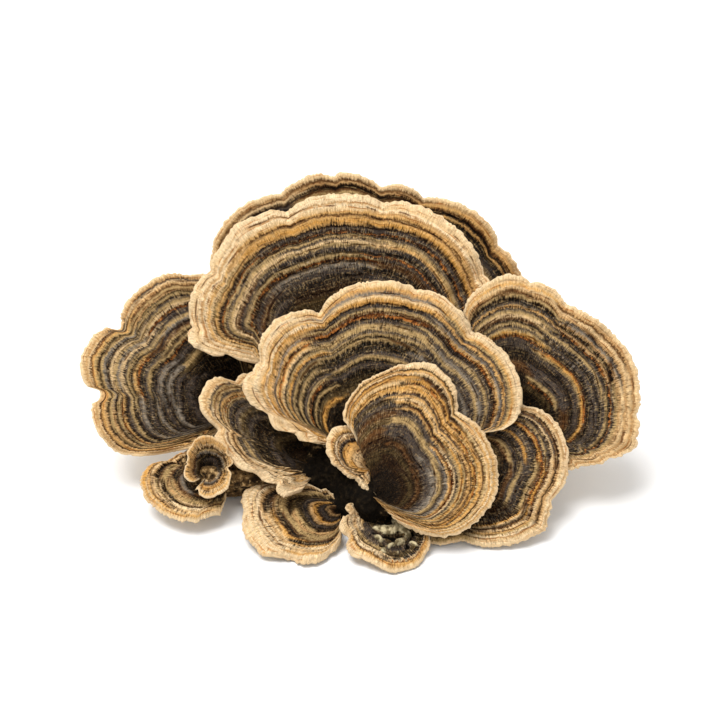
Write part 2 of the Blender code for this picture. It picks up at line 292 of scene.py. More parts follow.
INSIDE_DARK = " .30 dark .20 black"
SWIRL = " .40 dark .37 slate .345 dark .315 tan .27 gold .235 umber .20 slate .165 dark .135 tan .10 brown .07 black"
ZONES = {
    "cap_back": (
        (125, "1.0 cream .985 pale .97 tan .962 brown .95 pale .935 umber .92 slate .90 dark .87 straw .84 slate .81 rust "
              ".77 slate .72 straw .66 slate .60 dark .5 slate" + INSIDE_DARK),
        (90, "1.0 cream .985 pale .968 brown .955 tan .945 umber .935 black .922 brown .91 straw .88 slate .84 straw "
             ".81 rust .77 slate .72 straw .66 slate .60 dark .5 slate" + INSIDE_DARK),
        (55, "1.0 cream .985 pale .97 tan .955 honey .94 brown .93 black .92 umber .912 honey .90 black .885 dark .86 slate "
             ".82 straw .79 rust .75 slate .70 straw .62 dark .5 slate" + INSIDE_DARK)),
    "cap_upper": (
        (152, "1.0 cream .965 pale .95 cream .93 tan .915 cream .89 honey .875 pale .86 straw .845 honey .825 umber "
              ".81 rust .80 straw .785 slate .765 straw .745 pale .725 brown .705 slate .68 straw .665 rust .65 umber "
              ".63 slate .60 brown .57 dark .54 slate .5 dark .4 umber" + INSIDE_DARK),
        (105, "1.0 cream .965 cream .955 tan .94 cream .92 pale .905 honey .892 brown .878 honey .858 gold .842 honey "
              ".835 umber .82 slate .808 umber .80 rust .79 dark .778 straw .765 slate .75 pale .735 straw .715 slate "
              ".695 dark .675 straw .658 rust .645 umber .63 grey .60 slate .56 dark .50 umber .45 olive .4 dark"
              + INSIDE_DARK),
        (55, "1.0 cream .955 pale .94 cream .925 tan .905 honey .893 brown .88 honey .862 gold .845 umber .825 slate "
             ".81 rust .80 umber .79 slate .77 straw .75 honey .735 slate .705 dark .688 rust .675 slate .655 brown "
             ".62 dark .55 slate .45 dark" + INSIDE_DARK)),
    "cap_middle": (
        (135, "1.0 cream .975 pale .95 cream .925 pale .90 honey .88 cream .865 gold .845 honey .825 tan .81 grey "
              ".79 honey .768 rust .752 honey .735 pale .718 dark .70 straw .685 gold .665 slate .64 straw .615 black "
              ".585 straw .565 black .54 slate .52 straw .505 rust .475 black .455 straw .44 black .41 olive .375 gold"
              " .35 black .25 black"),
        (95, "1.0 cream .97 pale .955 honey .942 tan .925 grey .905 pale .89 honey .875 gold .862 dark .845 slate "
             ".83 straw .815 brown .802 rust .79 rust .778 black .76 slate .735 straw .715 straw .70 slate .68 straw "
             ".667 dark .655 straw .635 black .60 black .57 slate .55 straw .53 black .50 slate .47 black .38 olive"
             " .3 dark"),
        (30, "1.0 cream .97 cream .95 pale .935 honey .92 straw .90 slate .885 honey .87 slate .855 grey .84 honey "
             ".826 rust .812 umber .79 slate .775 straw .755 slate .73 grey .71 straw .69 slate .66 slate .64 grey "
             ".60 slate .5 dark" + INSIDE_DARK)),
    "cap_front": (
        (88, "1.0 cream .985 pale .968 tan .955 umber .94 honey .92 pale .905 brown .888 gold .87 honey .85 pale "
             ".83 honey .81 gold .79 honey .777 umber .76 slate .72 olive .68 slate .62 brown .55 olive .5 brown "
             ".4 umber .3 olive .2 umber .12 dark"),
        (55, "1.0 cream .98 cream .96 pale .945 umber .93 honey .915 pale .895 umber .877 brown .86 gold .842 rust "
             ".825 honey .80 gold .785 honey .77 brown .76 slate .745 honey .72 pale .70 honey .685 umber .668 rust "
             ".655 honey .635 slate .60 slate .575 straw .55 straw .52 slate .45 slate .42 umber .395 brown .37 umber "
             ".34 olive .3 umber .25 umber .2 dark"),
        (5, "1.0 cream .975 pale .955 honey .94 cream .92 honey .90 pale .885 straw .87 brown .855 honey .84 gold "
            ".825 straw .81 rust .795 gold .78 brown .76 honey .74 brown .72 straw .70 gold .68 straw .655 slate "
            ".64 pale .62 rust .60 honey .58 grey .55 slate .52 straw .48 grey .42 slate .38 umber .36 brown .33 umber "
            ".3 olive .25 umber .2 dark")),
    "cap_front_side": (
        (130, "1.0 cream .93 pale .87 honey .83 brown .80 cream .75 tan .70 slate .65 umber .61 gold .50 honey .35 pale"
              " .15 tan"),
        (190, "1.0 cream .90 pale .85 tan .81 brown .77 cream .71 tan .66 umber .61 honey .46 gold .3 pale .15 tan"),
        (250, "1.0 cream .85 cream .75 pale .66 tan .58 pale .48 cream .36 honey .25 pale .15 tan")),
    "cap_inner_left": (
        (122, "1.0 cream .975 pale .955 tan .94 pale .92 slate .905 straw .885 brown .87 straw .85 slate .83 honey "
              ".805 rust .79 straw .765 slate .735 dark .70 slate .66 olive .62 dark .58 slate .54 black .48 dark "
              ".42 black .34 olive .28 black .16 umber .1 olive"),
        (150, "1.0 cream .955 pale .94 tan .92 cream .90 brown .885 pale .865 tan .845 brown .825 tan .80 pale "
              ".782 umber .76 slate .72 straw .68 slate .63 olive .60 dark .56 black .48 black .42 slate .36 dark "
              ".30 slate .2 black .12 umber .07 gold"),
        (170, "1.0 cream .90 cream .80 pale .74 cream .70 honey .665 umber .64 pale .60 honey .56 brown .53 slate "
              ".49 dark .44 black .38 slate .3 dark .2 slate .14 umber .08 gold"),
        (195, "1.0 cream .85 pale .75 cream .62 honey .52 pale .42 honey .32 tan .2 pale")),
    "cap_left": (
        (185, "1.0 cream .985 pale .97 tan .955 pale .945 brown .93 honey .915 tan .90 umber .885 straw .865 tan "
              ".85 umber .83 straw .81 rust .80 honey .785 umber .765 slate .745 straw .725 dark .70 slate .675 grey "
              ".65 dark .62 slate .595 dark .57 grey .545 dark .51 slate .48 dark .45 grey .42 dark .38 dark .33 slate "
              ".28 black"),
        (155, "1.0 cream .982 pale .965 tan .95 pale .938 brown .925 honey .91 straw .895 umber .88 straw .86 grey "
              ".84 umber .82 pale .80 straw .78 grey .76 pale .74 slate .72 straw .70 dark .68 honey .665 rust .645 dark "
              ".62 slate .60 straw .58 dark .56 slate .53 grey .51 dark .48 grey .455 dark .43 slate .40 dark .36 slate "
              ".3 black"),
        (125, "1.0 cream .985 pale .97 tan .955 slate .94 pale .925 tan .91 brown .895 straw .88 tan .865 olive "
              ".85 straw .83 slate .81 straw .79 pale .775 rust .755 slate .73 slate .71 straw .69 grey .67 slate "
              ".65 brown .63 straw .61 umber .59 straw .575 rust .555 dark .53 slate .5 dark .47 straw .44 olive "
              ".41 black .2 black")),
    "cap_right": (
        (90, "1.0 cream .965 pale .94 honey .925 pale .90 tan .885 brown .87 straw .852 umber .835 black .815 slate "
             ".80 honey .785 slate .76 straw .74 pale .72 brown .70 dark .68 straw .66 slate .64 straw .62 gold "
             ".605 rust .58 slate .55 slate .50 dark .46 dark .42 brown .36 dark .2 black"),
        (45, "1.0 cream .975 pale .95 tan .932 brown .915 pale .89 tan .875 slate .86 grey .842 tan .825 black "
             ".81 umber .795 tan .78 rust .76 dark .742 slate .725 straw .70 slate .675 dark .645 slate .61 dark "
             ".588 rust .572 gold .555 straw .53 slate .49 dark .44 slate .40 slate .375 straw .35 rust .32 olive"
             " .27 black .2 black"),
        (0, "1.0 cream .97 pale .95 tan .92 pale .90 tan .87 pale .85 tan .82 straw .80 slate .785 rust .77 dark "
            ".75 straw .73 slate .70 dark .67 slate .645 slate .61 dark .582 rust .567 gold .545 umber .52 slate "
            ".48 dark .44 brown .38 dark .3 black")),
    "cap_right_lower": (
        (25, "1.0 cream .97 cream .95 tan .925 pale .905 umber .885 brown .865 slate .85 pale .83 umber .81 slate "
             ".79 straw .775 slate .757 rust .735 gold .72 rust .705 dark .68 slate .64 slate .615 gold .595 slate "
             ".56 dark .52 slate .48 straw .455 brown .43 umber .39 olive .3 dark"),
        (-12, "1.0 cream .972 tan .957 cream .93 pale .91 tan .887 umber .87 tan .845 pale .822 brown .80 rust "
              ".785 gold .768 rust .74 brown .71 straw .68 dark .64 slate .60 slate .57 straw .54 slate .50 brown "
              ".46 dark .3 black"),
        (-52, "1.0 pale .96 cream .93 pale .91 tan .89 cream .86 straw .84 honey .81 pale .79 brown .77 umber "
              ".748 pale .73 gold .715 umber .69 umber .65 dark .58 umber .4 black"),
        (-90, "1.0 pale .95 straw .9 olive .8 umber .6 dark")),
    "cap_bottom": (
        (165, "1.0 cream .96 cream .93 pale .90 cream .87 pale .84 cream .80 tan .76 umber .72 dark .68 brown .63 straw "
              ".58 straw .53 umber .49 olive" + SWIRL),
        (200, "1.0 honey .98 cream .96 pale .94 cream .92 pale .90 cream .88 pale .86 cream .84 tan .82 cream .80 pale "
              ".77 tan .75 pale .715 honey .69 gold .67 brown .65 umber .615 dark .59 brown .57 straw .53 straw .50 tan "
              ".46 straw .43 olive" + SWIRL),
        (245, "1.0 pale .96 cream .93 honey .90 pale .87 tan .85 pale .82 cream .79 honey .765 gold .74 umber .71 dark "
              ".68 brown .65 straw .60 straw .55 straw .50 tan .46 umber" + SWIRL)),
    "cap_bottom_small": (
        (180, "1.0 cream .90 pale .82 cream .75 tan .69 cream .62 pale .57 honey .52 umber .46 dark .40 olive .30 slate "
              ".2 dark .1 black"),
        (225, "1.0 cream .95 pale .92 honey .89 brown .86 cream .81 pale .78 umber .74 straw .66 slate .5 slate "
              ".4 olive .3 dark .2 black"),
        (275, "1.0 cream .965 pale .93 honey .90 honey .885 rust .87 pale .845 slate .82 black .76 olive .68 slate "
              ".6 dark .5 olive .4 dark .2 black")),
    "cap_lower_left": (
        (172, "1.0 honey .96 gold .93 honey .905 brown .88 tan .85 pale .82 tan .80 umber .78 black .755 brown "
              ".72 straw .68 straw .64 brown .58 dark .5 umber .4 black"),
        (200, "1.0 honey .97 pale .94 honey .91 pale .88 honey .855 brown .84 tan .81 pale .78 straw .758 brown "
              ".74 pale .72 umber .695 black .675 straw .64 tan .60 straw .57 tan .53 brown .47 grey .42 dark .36 umber"
              " .3 black"),
        (240, "1.0 cream .96 pale .90 honey .86 pale .835 tan .80 pale .75 cream .73 straw .715 umber .70 black "
              ".685 brown .66 pale .62 straw .58 straw .54 olive .5 umber .44 brown .38 dark .2 black"),
        (275, "1.0 cream .92 pale .85 straw .78 brown .72 straw .64 olive .58 dark .5 black .2 black")),
    "cap_rosette": (
        (-70, "1.0 cream .92 honey .84 pale .76 honey .68 gold .60 tan .55 umber .52 slate .47 grey .40 pale .34 slate "
              ".27 umber .2 black .12 gold"),
        (60, "1.0 honey .92 tan .86 honey .80 pale .76 tan .74 umber .72 umber .68 straw .61 grey .56 dark .50 black "
             ".44 dark .38 slate .30 dark .22 black"),
        (190, "1.0 cream .90 honey .80 honey .70 tan .62 brown .55 slate .48 olive .4 dark .3 black")),
}


def zone_list(text):
    """Place and colour name of each band, from the root outwards, read from a line of pairs."""
    words = text.split()
    return sorted((float(place), colour) for place, colour in zip(words[::2], words[1::2]))


def zone_lightness(lists, turn, zone):
    """How light the listed bands are at each point: the root of the green channel from 0 to 1, on
    straight runs between bands. One list gives way to the next half way between their angles."""
    lists = sorted(lists)
    light = []
    for _, text in lists:
        places, colours = zip(*zone_list(text))
        light.append(np.interp(zone, places, [math.sqrt(COLOURS[colour][1] / 255.0) for colour in colours]))
    total = light[0]
    for (low, _), (high, _), following in zip(lists, lists[1:], light[1:]):
        share = np.clip(0.5 + (turn - (low + high) / 2.0) / CHANGE_OVER, 0.0, 1.0)
        total = total + (following - total) * share
    return total


print("bands listed:", sum(len(zone_list(text)) for lists in ZONES.values() for _, text in lists))

# %% [markdown]
# ## The surface of a cap
# The upper face of the real cap is a shallow dish with low concentric ridges, radial creases behind
# its notches and a velvet of hairs. The lip is round, and the pale underside is nearly smooth. A flat
# plane with a bump picture would lose the lip and the folds, so both faces are points of one grid:
# rows run from the root to the lip, columns from one side of the fan to the other.

# %% Rows and columns, with the last ones packed round the lip
FACE_SIZE = 0.3
MOST_POINTS = 46000
LIP_STEPS = np.array((0.0, 0.04, 0.14, 0.28, 0.45))
MOST_SIDE_SHARE = 0.2
FRILLS = ((4.5, 0.3), (1.9, 0.18))
SIDE_FRILL = 1.8


def side_swing(longest, out, seed):
    """How far, in degrees, a side of the fan swings in and out with noise. It is still at the root."""
    swing = sum(depth * unevenness(out * longest / length, 0.5, seed) for length, depth in FRILLS)
    return np.degrees(SIDE_FRILL * swing * np.clip(2.0 * out - 0.6, 0.0, 1.0) / (longest * out))


def cap_grid(cap):
    """Angle, share of the way out, distance from the nearest edge and from the margin, for a grid of
    points. Away from the edges the steps are even. Next to them they follow the round of the lip.
    Where a cap lists a curved side, its last column lies at the listed angle for each share out."""
    margin = cap["margin"]
    first, last = margin[0][0], margin[-1][0]
    longest = max(point[1] for point in margin)
    inner_share = cap.get("inner", INNER_SHARE)
    length, width = longest * (1.0 - inner_share), math.radians(last - first) * longest
    face = max(min(FACE_SIZE, longest / 90.0), math.sqrt(length * width / MOST_POINTS))
    rows, columns = int(length / face), int(width / face)
    even_out = inner_share + (1.0 - inner_share) * np.linspace(0.0, 1.0, rows)
    out_start = np.concatenate((even_out[:-1], np.ones(len(LIP_STEPS))))[:, None]
    if "side" in cap:
        last = np.interp(out_start, *zip(*cap["side"]))
    first, last = first - side_swing(longest, out_start, 51), last + side_swing(longest, out_start, 52)
    span = last - first
    start_step = np.minimum(np.degrees(LIP_STEPS / (margin[0][1] * out_start)), MOST_SIDE_SHARE * span)
    end_step = np.minimum(np.degrees(LIP_STEPS / (margin[-1][1] * out_start)), MOST_SIDE_SHARE * span)
    share = np.linspace(0.0, 1.0, columns)[1:-1]
    inner = first + start_step[:, -1:] + (span - start_step[:, -1:] - end_step[:, -1:]) * share
    angle = np.concatenate((first + start_step, inner, (last - end_step)[:, ::-1]), axis=1)
    radius = outer_margin(cap, angle)
    lip_out = 1.0 - LIP_STEPS[::-1, None] / radius[-len(LIP_STEPS):]
    body_out = even_out[:-1, None] * (1.0 - LIP_STEPS[-1] / radius[:rows - 1])
    out = np.concatenate((body_out, lip_out))
    reach = radius * out
    edge = np.minimum(radius - reach, np.radians(angle - first) * reach)
    edge = np.minimum(edge, np.radians(last - angle) * reach)
    return angle, out, np.maximum(edge, 0.0), radius - reach


# %% Heights of the upper face and the underside
TOOTH_LENGTH = 0.9
TOOTH_DEPTH = 0.5
TOOTH_REACH = 1.3
PLEAT_DEPTH = 0.16
PLEAT_REACH = 3.0
CURL = 0.7
CURL_LENGTH = 6.0
STEP_WIDTH = 2.4
STEP_HEIGHT = 0.2
STEP_CREST = 0.24
BAND_RELIEF = 0.8
FINE_RIDGE = 0.1
FINE_RIDGE_STEP = 0.9
FIBRE_RELIEF = 0.06
FIBRE_WIDTH = 0.5
INNER_SOFTNESS = 7.0
LARGE_CAP = 25.0
KNOB_UNEVEN = 0.6
NARROWING = 2.0
SCALLOP_REACH = 4.0
FIBRE_TURN = 7.0
CORNER_ROUND = 0.08


def side_place(cap, angle, out):
    """Where a point lies in the zones that run along the last side, for a cap that wraps."""
    longest = max(point[1] for point in cap["margin"])
    from_side = np.radians(cap["margin"][-1][0] - angle) * out * outer_margin(cap, angle)
    return 1.0 - cap["wrap"] * from_side / longest - 2.0 * np.clip(0.6 - out, 0.0, 1.0)


def softly_larger(first, second):
    """The larger of two numbers, with a round change-over where they are nearly the same."""
    return (first + second + np.hypot(first - second, CORNER_ROUND)) / 2.0


def margin_distance(cap, angle, out):
    """Distance square to the margin, taken as straight beside each point."""
    return outer_margin(cap, angle) * (1.0 - out) / np.hypot(1.0, margin_slope(cap, angle))


def zone_place(cap, angle, out):
    """Where a point lies in the zones. At the margin this is the share of the way out. Further in it
    is measured against a margin with softer lobes, because older zones are less lobed, and it drifts
    a little with noise. Where the margin runs obliquely the zones run along it too, narrower there."""
    longest = max(point[1] for point in cap["margin"])
    sharp = outer_margin(cap, angle)
    soft = soft_margin(cap["margin"], angle, cap.get("softness", INNER_SOFTNESS))
    weight = np.clip(out, 0.0, 1.0) ** 6
    place = out * sharp / (soft + (sharp - soft) * weight)
    narrowing = cap.get("narrowing", NARROWING)
    place = np.maximum(place, 1.0 - narrowing * margin_distance(cap, angle, out) / longest)
    if "wrap" in cap:
        place = softly_larger(place, side_place(cap, angle, out))
    along, inward = np.radians(angle) * longest, np.clip((1.0 - out) * 12.0, 0.0, 1.0)
    drift = 0.25 * unevenness(along / 9.0, place * longest / 9.0, 11)
    drift += 0.15 * unevenness(along / 2.4, place * longest / 2.0, 12)
    return place + inward * drift / longest


def scattered_turn(cap, angle, out):
    """The angle at which a point reads the lists: its own, moved by noise that changes quickly from
    zone to zone, so that each band changes over from one list to the next at a place of its own."""
    longest = max(point[1] for point in cap["margin"])
    along, growth = np.radians(angle) * longest, zone_place(cap, angle, out) * longest
    return angle + SCATTER * unevenness(along / 6.0, growth / 0.9, 21)


def teeth(cap, angle):
    """Small rounded teeth with sharp notches, as the size of a noise that swings through zero."""
    along = np.radians(angle) * max(point[1] for point in cap["margin"])
    return np.abs(unevenness(along / TOOTH_LENGTH, 0.5, int(abs(cap["root"][0])) + 31))


def growth_steps(cap, angle, out):
    """A number that grows by 1 with each spell of growth from the root outwards. Its pace and place
    wander with noise, so that the steps are not evenly wide."""
    longest = max(point[1] for point in cap["margin"])
    along, growth = np.radians(angle) * longest, zone_place(cap, angle, out) * longest
    seed = int(abs(cap["root"][1] * 5 + cap["root"][2]))
    wander = 0.9 * unevenness(0.5, growth / 6.0, seed) + 0.4 * unevenness(along / 15.0, growth / 9.0, seed + 1)
    return growth / STEP_WIDTH + wander


def step_height(cap, angle, out, steps):
    """Each step rises fast from its trough to a crest and falls away slowly, a saw wave. Noise along
    the arc makes it stronger here and weaker there."""
    longest = max(point[1] for point in cap["margin"])
    rise = steps - np.floor(steps)
    wave = np.minimum(rise / STEP_CREST, (1.0 - rise) / (1.0 - STEP_CREST))
    strength = unevenness(np.radians(angle) * longest / 8.0, np.floor(steps) * 3.7, 5)
    return STEP_HEIGHT * wave * np.clip(0.6 + 0.8 * strength, 0.1, 1.0) * np.clip(out * 4.0, 0.0, 1.0)


def raised(cap, angle, out):
    """Extra height of the places where a margin curls or crumples: a bell curve in the angle times an
    ease curve from where the curl starts to the margin, with noise of the given depth on it."""
    height = np.zeros_like(out)
    reach = outer_margin(cap, angle) * out
    for middle, half_angle, start, lift, folds in cap.get("curls", ()):
        rise = np.clip((out - start) / (1.0 - start), 0.0, 1.0)
        near = np.exp(-((angle - middle) / half_angle) ** 2) * rise
        height += near * rise * lift
        height += near * folds * unevenness(np.radians(angle) * reach / 1.3, reach / 2.2, 3)
    return height


def knob_height(cap, angle, out):
    """Height of the knobs (above) and pits (below) that a cap lists: a bell curve of the distance,
    in millimetres, from the middle of each one, with noise on the distance."""
    turn, reach = np.radians(angle), outer_margin(cap, angle) * out
    height = np.zeros_like(out)
    for middle, share, lift, radius in cap.get("knobs", ()):
        away = margin_radius(cap["margin"], np.array([middle], float))[0] * share
        x, y = reach * np.cos(turn), reach * np.sin(turn)
        x, y = x + KNOB_UNEVEN * unevenness(x, y, 41), y + KNOB_UNEVEN * unevenness(y, x, 42)
        x0, y0 = away * math.cos(math.radians(middle)), away * math.sin(math.radians(middle))
        height += lift * np.exp(-((x - x0) ** 2 + (y - y0) ** 2) / radius ** 2)
    return height


def scallop_push(cap, angle, out):
    """How far the scallops that a cap lists push the margin out: the angle of the middle, half the
    length along the margin and the height of each one, as an arch 1 - t t that dies away inwards."""
    along = margin_length(cap, angle)
    push = np.zeros_like(angle)
    for middle, half_length, height in cap.get("scallops", ()):
        away = (along - margin_length(cap, middle)) / half_length
        push = push + height * np.maximum(1.0 - away ** 2, 0.0)
    return push * np.exp(-margin_distance(cap, angle, out) / SCALLOP_REACH)


def cap_faces(cap, lists, angle, out, edge, rim):
    """Points of the upper face and of the underside, in millimetres.
    Height = dish + creases + waves + ridges + lip, as in the solids, plus finer ridges, fibres, the
    curl of the margin and a ridge under each light band. Towards any edge both faces bend to the
    lip's middle on a quarter circle."""
    margin = cap["margin"]
    turn = np.radians(angle)
    longest = max(point[1] for point in margin)
    along = turn * longest
    seed = int(abs(cap["root"][0] * 7 + cap["root"][2]))
    frill = sum(depth * unevenness(along / length, 0.5, seed + depth) for length, depth in FRILLS) * out ** 6
    tooth, size = teeth(cap, angle), min(longest / LARGE_CAP, 1.0)
    frill += TOOTH_DEPTH * size * (tooth - 0.4) * np.exp(-rim / TOOTH_REACH)
    frill = cap.get("frill", 1.0) * frill * out + scallop_push(cap, angle, out)
    slope = margin_slope(cap, angle)
    frill /= np.hypot(1.0, slope)
    reach = outer_margin(cap, angle) * out + frill
    height = -cap["dish"] * (1.0 - out ** 2)
    height -= cap["crease"] * notch_nearness(margin, angle, CREASE_HALF_ANGLE) * out ** 1.5
    height += cap["wave"] * np.sin(WAVE_COUNT * turn + cap["root"][0]) * out ** 2
    height -= cap["ridge"] * np.cos(2.0 * math.pi * cap["ridges"] * out)
    height -= LIP_DROOP * np.maximum((out - LIP_START) / (1.0 - LIP_START), 0.0) ** 2
    height += CURL * size * unevenness(along / CURL_LENGTH, out * 2.0, seed + 2) * out ** 4
    height += raised(cap, angle, out) + knob_height(cap, angle, out)
    light = zone_lightness(lists, scattered_turn(cap, angle, out), zone_place(cap, angle, out))
    height += (step_height(cap, angle, out, growth_steps(cap, angle, out))
               + BAND_RELIEF * (light - 0.6)) * np.minimum(edge, 1.0)
    height -= PLEAT_DEPTH * size * np.exp(-(tooth / 0.2) ** 2 - rim / PLEAT_REACH) * np.minimum(edge, 1.0)
    relief = FINE_RIDGE * unevenness(along / 14.0, out * longest / FINE_RIDGE_STEP, seed + 3)
    relief += FIBRE_RELIEF * unevenness(along / FIBRE_WIDTH, out * longest / 2.5, seed + 4)
    thick = cap["thick"] + (MARGIN_THICKNESS - cap["thick"]) * out
    half = thick / 2.0
    bend = half - np.sqrt(half ** 2 - (half - np.minimum(edge, half)) ** 2)
    inside = np.minimum(edge / 0.5, 1.0)
    across, growth, normal = cap_directions(cap["turn"], cap["lift"])
    x, y = reach * np.cos(turn) + frill * slope * np.sin(turn), reach * np.sin(turn) - frill * slope * np.cos(turn)
    flat = np.array(cap["root"]) + x[..., None] * across + y[..., None] * growth
    top = flat + (height - bend + relief * inside)[..., None] * normal
    under = flat + (height - thick + bend)[..., None] * normal
    return top, under


# %% [markdown]
# ## Closing the mesh
# A cap has to be one closed skin that faces outwards. A Solidify modifier would leave a square edge,
# and two loose sheets would leave a gap. Here the grid of the underside uses the same points as the
# upper face along the lip and both sides, and one strip joins the two at the root.

# %% Two grids that share their outer edge


def quads(numbers):
    """Faces of a grid of point numbers, four corners each."""
    corners = numbers[:-1, :-1], numbers[:-1, 1:], numbers[1:, 1:], numbers[1:, :-1]
    return np.stack(corners, axis=-1).reshape(-1, 4)


def new_piece(name, points, faces, values, growth):
    """A smooth mesh object from points in millimetres and faces. Values holds named numbers, one to a
    point, and growth holds the two columns of its UV map."""
    mesh = bpy.data.meshes.new(name)
    mesh.from_pydata((points * MM).tolist(), [], faces)
    mesh.polygons.foreach_set("use_smooth", np.ones(len(mesh.polygons), bool))
    for label, numbers in values.items():
        layer = mesh.attributes.new(label, "FLOAT", "POINT")
        layer.data.foreach_set("value", np.asarray(numbers, np.float32))
    corner = np.zeros(len(mesh.loops), np.int32)
    mesh.loops.foreach_get("vertex_index", corner)
    layer = mesh.uv_layers.new(name="growth")
    layer.data.foreach_set("uv", growth[corner].astype(np.float32).ravel())
    piece = bpy.data.objects.new(name, mesh)
    bpy.context.scene.collection.objects.link(piece)
    return piece


def closed_skin(top, under):
    """Points, faces and a row of numbers that says which point of both grids each one is."""
    rows, columns = top.shape[:2]
    upper = np.arange(rows * columns).reshape(rows, columns)
    lower = upper + rows * columns
    lower[-1], lower[:, 0], lower[:, -1] = upper[-1], upper[:, 0], upper[:, -1]
    strip = np.stack((upper[0, :-1], upper[0, 1:], lower[0, 1:], lower[0, :-1]), axis=-1)
    faces = np.concatenate((quads(upper)[:, ::-1], quads(lower), strip[1:-1]))
    used, renumbered = np.unique(faces, return_inverse=True)
    place = np.zeros(2 * rows * columns, int)
    place[used] = np.arange(len(used))
    polygons = renumbered.reshape(-1, 4).tolist()
    # The strip comes to a point at both sides of the fan, where the two faces meet
    polygons.append(place[strip[0, :3]].tolist())
    polygons.append(place[strip[-1, [0, 1, 3]]].tolist())
    points = np.concatenate((top.reshape(-1, 3), under.reshape(-1, 3)))[used]
    return points, polygons, used


def growth_map(cap, angle, out):
    """Place along the margin and across the zones, in millimetres. The first one leans with depth, so
    that the fibres meet an oblique margin squarely, and turns to follow a side that the zones wrap."""
    slope = margin_slope(cap, angle)
    depth = FIBRE_TURN * (1.0 - np.exp(-outer_margin(cap, angle) * (1.0 - out) / FIBRE_TURN))
    along = margin_length(cap, angle) - depth * slope / np.hypot(1.0, slope)
    zone = zone_place(cap, angle, out)
    if "wrap" in cap:
        reach = outer_margin(cap, angle) * out
        along = np.where(side_place(cap, angle, out) > out, reach + 2.0 * along.max(), along)
    return np.stack((along, zone * max(point[1] for point in cap["margin"])), axis=-1)


def cap_piece(name, cap, lists):
    """The closed skin of one cap, with its growth map and the values that its material reads."""
    angle, out, edge, rim = cap_grid(cap)
    top, under = cap_faces(cap, lists, angle, out, edge, rim)
    points, faces, used = closed_skin(top, under)
    longest = max(point[1] for point in cap["margin"])
    below = np.concatenate((np.zeros(angle.size), np.ones(angle.size)))[used]
    rim = np.minimum(margin_distance(cap, angle, out), edge + longest * np.clip(0.6 - out, 0.0, 1.0))
    values = {"zone": zone_place(cap, angle, out), "steps": growth_steps(cap, angle, out), "rim": rim,
              "turn": scattered_turn(cap, angle, out), "pleat": teeth(cap, angle),
              "knob": knob_height(cap, angle, out)}
    values = {label: np.tile(numbers.ravel(), 2)[used] for label, numbers in values.items()}
    growth = growth_map(cap, angle, out).reshape(-1, 2) / 10.0
    return new_piece(name, points, faces, dict(values, below=below), np.tile(growth, (2, 1))[used])


print("a grid of", cap_grid(CAPS["cap_upper"])[0].shape, "points for the largest cap")

# %% [markdown]
# ## The finish of a cap
# Close up, the zones are a velvet of hairs that lie outwards, so their borders are ragged, and fine
# rings, flecks and a soft mottle run through them. A picture would tie the colour to one view and
# one size. Here noise that is stretched along the growth shifts the place in the zones before the
# colour is looked up, and the same noise lifts the hairs in the bump.

# %% Short ways to add a shader node


def add_node(tree, kind, inputs=None, **settings):
    """Add a node, choose its settings, and set each input to a value or link it to a socket."""
    node = tree.nodes.new(kind)
    for label, value in settings.items():
        setattr(node, label, value)
    for place, value in (inputs or {}).items():
        if isinstance(value, bpy.types.NodeSocket):
            tree.links.new(value, node.inputs[place])
        else:
            node.inputs[place].default_value = value
    return node


def calc(tree, operation, first, second=0.0, third=0.0):
    """One sum on two or three numbers."""
    return add_node(tree, "ShaderNodeMath", {0: first, 1: second, 2: third}, operation=operation).outputs[0]


def between(tree, value, low, high, low_to=0.0, high_to=1.0):
    """A number carried from one range to another, and held there."""
    places = {"Value": value, "From Min": low, "From Max": high, "To Min": low_to, "To Max": high_to}
    return add_node(tree, "ShaderNodeMapRange", places).outputs[0]


def blend(tree, share, first, second, way="MIX"):
    """Two colours mixed by a share."""
    node = add_node(tree, "ShaderNodeMix", {0: share, 6: first, 7: second}, data_type="RGBA", blend_type=way)
    return node.outputs[2]


def noise(tree, place, scale=(1.0, 1.0, 1.0), detail=2.0, rough=0.5, shift=0.0):
    """Even noise from 0 to 1, with its place stretched by a scale for each direction."""
    spot = add_node(tree, "ShaderNodeMapping", {"Vector": place, "Scale": scale, "Location": (shift,) * 3})
    node = add_node(tree, "ShaderNodeTexNoise",
                    {"Vector": spot.outputs[0], "Scale": 1.0, "Detail": detail, "Roughness": rough})
    return node.outputs["Fac"]


def stored(tree, name):
    """A number that the mesh keeps for each point."""
    return add_node(tree, "ShaderNodeAttribute", attribute_name=name).outputs["Fac"]


def new_material(name):
    """A material with only its shader, and its node tree."""
    material = bpy.data.materials.new(name)
    material.use_nodes = True
    tree = material.node_tree
    return material, tree, tree.nodes["Principled BSDF"]


# %% The colours of one cap, looked up and feathered
LIP_WIDTH = 0.5
MOST_STOPS = 32


def mixed(tree, share, first, second):
    """Two numbers mixed by a share."""
    return add_node(tree, "ShaderNodeMix", {0: share, 2: first, 3: second}).outputs[0]


def choose(tree, share, first, second):
    """Two pairs of a colour and its cover, mixed by a share."""
    return blend(tree, share, first[0], second[0]), mixed(tree, share, first[1], second[1])


def band_colour(name):
    """The linear colour of a band. Its fourth number is 0 where the band is a flecked trough."""
    return (*daylight(*COLOURS[name])[:3], float(name != FLECKED))


